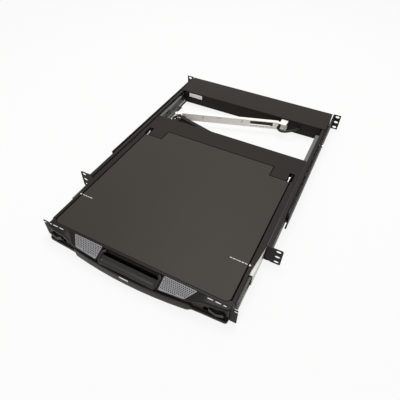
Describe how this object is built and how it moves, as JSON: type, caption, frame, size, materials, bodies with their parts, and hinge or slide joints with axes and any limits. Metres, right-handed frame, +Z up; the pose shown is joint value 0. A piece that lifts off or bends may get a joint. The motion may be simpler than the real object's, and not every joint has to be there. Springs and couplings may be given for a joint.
{
  "type": "rackmount lcd console drawer",
  "caption": "Rack drawer on telescopic slides with a keyboard and touchpad under a hinged flat screen, rear box, folding cable arm and depth-adjustable rear brackets.",
  "frame": {"origin": "centre of the front rack bolt pattern, on the front face of the rack ears", "axes": "+X to the right seen from the front, +Y into the rack, +Z up"},
  "size_m": [0.4826, 0.6944, 0.0437],
  "materials": {
    "black_paint": "satin",
    "grey_paint": "satin",
    "white_paint": "satin",
    "zinc_steel": "zinc plated",
    "silver_mesh": "perforated, satin",
    "dark_plastic": "fine texture",
    "key_plastic": "fine texture",
    "screen": "anti-glare",
    "board": "coated",
    "cable_rubber": "matte"
  },
  "bodies": {
    "chassis": {"outer_rail_right": "black_paint", "outer_rail_left": "black_paint", "rail_spacers_right": "zinc_steel", "rail_spacers_left": "zinc_steel", "slide_outer_right": "zinc_steel", "slide_outer_left": "zinc_steel", "rear_box": "black_paint", "box_cover": "black_paint", "rear_panel": "black_paint", "power_inlet": "dark_plastic", "wide_socket": "zinc_steel", "square_sockets": "zinc_steel", "switch_frame": "dark_plastic", "circuit_board": "board", "clamp_screw_right": "zinc_steel", "clamp_screw_left": "zinc_steel", "arm_base": "zinc_steel"},
    "bracket_right": {"rear_bracket_right": "black_paint", "guide_pads_right": "dark_plastic"},
    "bracket_left": {"rear_bracket_left": "black_paint", "guide_pads_left": "dark_plastic"},
    "middle_right": {"slide_middle_right": "zinc_steel"},
    "middle_left": {"slide_middle_left": "zinc_steel"},
    "drawer": {"tray": "black_paint", "rear_cover": "black_paint", "deck": "black_paint", "keyboard_base": "dark_plastic", "touchpad": "key_plastic", "hinge_bracket_right": "zinc_steel", "hinge_bracket_left": "zinc_steel", "bezel": "dark_plastic", "grille_right": "silver_mesh", "grille_left": "silver_mesh", "handle": "dark_plastic", "arm_anchor": "zinc_steel", "slide_inner_right": "zinc_steel", "slide_inner_left": "zinc_steel"},
    "row_1": {"keys_row_1": "key_plastic"},
    "row_2": {"keys_row_2": "key_plastic"},
    "row_3": {"keys_row_3": "key_plastic"},
    "row_4": {"keys_row_4": "key_plastic"},
    "row_5": {"keys_row_5": "key_plastic"},
    "row_6": {"keys_row_6": "key_plastic"},
    "click_left": {"click_button_left": "key_plastic"},
    "click_right": {"click_button_right": "key_plastic"},
    "lid": {"lid_cover": "grey_paint", "screen_frame": "dark_plastic", "screen_glass": "screen", "screen_panel": "dark_plastic", "hinge_arm_right": "zinc_steel", "hinge_arm_left": "zinc_steel"},
    "thumb_latch_right": {"latch_right": "dark_plastic"},
    "thumb_latch_left": {"latch_left": "dark_plastic"},
    "rocker": {"power_rocker": "dark_plastic"},
    "rear_link": {"arm_rear_link": "white_paint", "cable_rear": "cable_rubber"},
    "front_link": {"arm_front_link": "white_paint", "cable_front": "cable_rubber", "arm_pins": "zinc_steel"}
  },
  "joints": [
    {"name": "drawer_slide", "type": "slide", "parent": "chassis", "child": "drawer", "axis": [0, -1, 0], "range_m": [-0.1455, 0.25]},
    {"name": "middle_right_slide", "type": "slide", "parent": "chassis", "child": "middle_right", "axis": [0, -1, 0], "range_m": [-0.0728, 0.1251]},
    {"name": "middle_left_slide", "type": "slide", "parent": "chassis", "child": "middle_left", "axis": [0, -1, 0], "range_m": [-0.0728, 0.1251]},
    {"name": "lid_hinge", "type": "hinge", "parent": "drawer", "child": "lid", "pos_m": [0, 0.21, 0.01378], "axis": [-1, 0, 0], "range_deg": [0, 108]},
    {"name": "bracket_right_slide", "type": "slide", "parent": "chassis", "child": "bracket_right", "axis": [0, 1, 0], "range_m": [-0.088, 0.25]},
    {"name": "bracket_left_slide", "type": "slide", "parent": "chassis", "child": "bracket_left", "axis": [0, 1, 0], "range_m": [-0.088, 0.25]},
    {"name": "row_1_press", "type": "slide", "parent": "drawer", "child": "row_1", "axis": [0, 0, -1], "range_m": [0, 0.0022], "stiffness_N_per_m": 600, "springref_m": -0.003},
    {"name": "row_2_press", "type": "slide", "parent": "drawer", "child": "row_2", "axis": [0, 0, -1], "range_m": [0, 0.0022], "stiffness_N_per_m": 600, "springref_m": -0.003},
    {"name": "row_3_press", "type": "slide", "parent": "drawer", "child": "row_3", "axis": [0, 0, -1], "range_m": [0, 0.0022], "stiffness_N_per_m": 600, "springref_m": -0.003},
    {"name": "row_4_press", "type": "slide", "parent": "drawer", "child": "row_4", "axis": [0, 0, -1], "range_m": [0, 0.0022], "stiffness_N_per_m": 600, "springref_m": -0.003},
    {"name": "row_5_press", "type": "slide", "parent": "drawer", "child": "row_5", "axis": [0, 0, -1], "range_m": [0, 0.0022], "stiffness_N_per_m": 600, "springref_m": -0.003},
    {"name": "row_6_press", "type": "slide", "parent": "drawer", "child": "row_6", "axis": [0, 0, -1], "range_m": [0, 0.0022], "stiffness_N_per_m": 600, "springref_m": -0.003},
    {"name": "click_left_press", "type": "slide", "parent": "drawer", "child": "click_left", "axis": [0, 0, -1], "range_m": [0, 0.001], "stiffness_N_per_m": 250, "springref_m": -0.002},
    {"name": "click_right_press", "type": "slide", "parent": "drawer", "child": "click_right", "axis": [0, 0, -1], "range_m": [0, 0.001], "stiffness_N_per_m": 250, "springref_m": -0.002},
    {"name": "latch_right_slide", "type": "slide", "parent": "drawer", "child": "thumb_latch_right", "axis": [-1, 0, 0], "range_m": [0, 0.008], "stiffness_N_per_m": 150, "springref_m": -0.004},
    {"name": "latch_left_slide", "type": "slide", "parent": "drawer", "child": "thumb_latch_left", "axis": [1, 0, 0], "range_m": [0, 0.008], "stiffness_N_per_m": 150, "springref_m": -0.004},
    {"name": "rocker_tilt", "type": "hinge", "parent": "chassis", "child": "rocker", "pos_m": [-0.1215, 0.51, 0.00198], "axis": [-1, 0, 0], "range_deg": [0, 14]},
    {"name": "rear_link_swing", "type": "hinge", "parent": "chassis", "child": "rear_link", "pos_m": [0.108, 0.414, 0], "axis": [0, 0, 1], "range_deg": [-15.8, 27.1]},
    {"name": "front_link_swing", "type": "hinge", "parent": "rear_link", "child": "front_link", "pos_m": [-0.17, 0.322, 0], "axis": [0, 0, 1], "range_deg": [-54.2, 31.6]}
  ],
  "couplings": [
    {"joint": "middle_right_slide", "follows": "drawer_slide", "ratio": 0.5},
    {"joint": "middle_left_slide", "follows": "drawer_slide", "ratio": 0.5},
    {"joint": "rear_link_swing", "follows": "drawer_slide", "rad_per_m": 1.885},
    {"joint": "front_link_swing", "follows": "drawer_slide", "rad_per_m": -3.77}
  ]
}
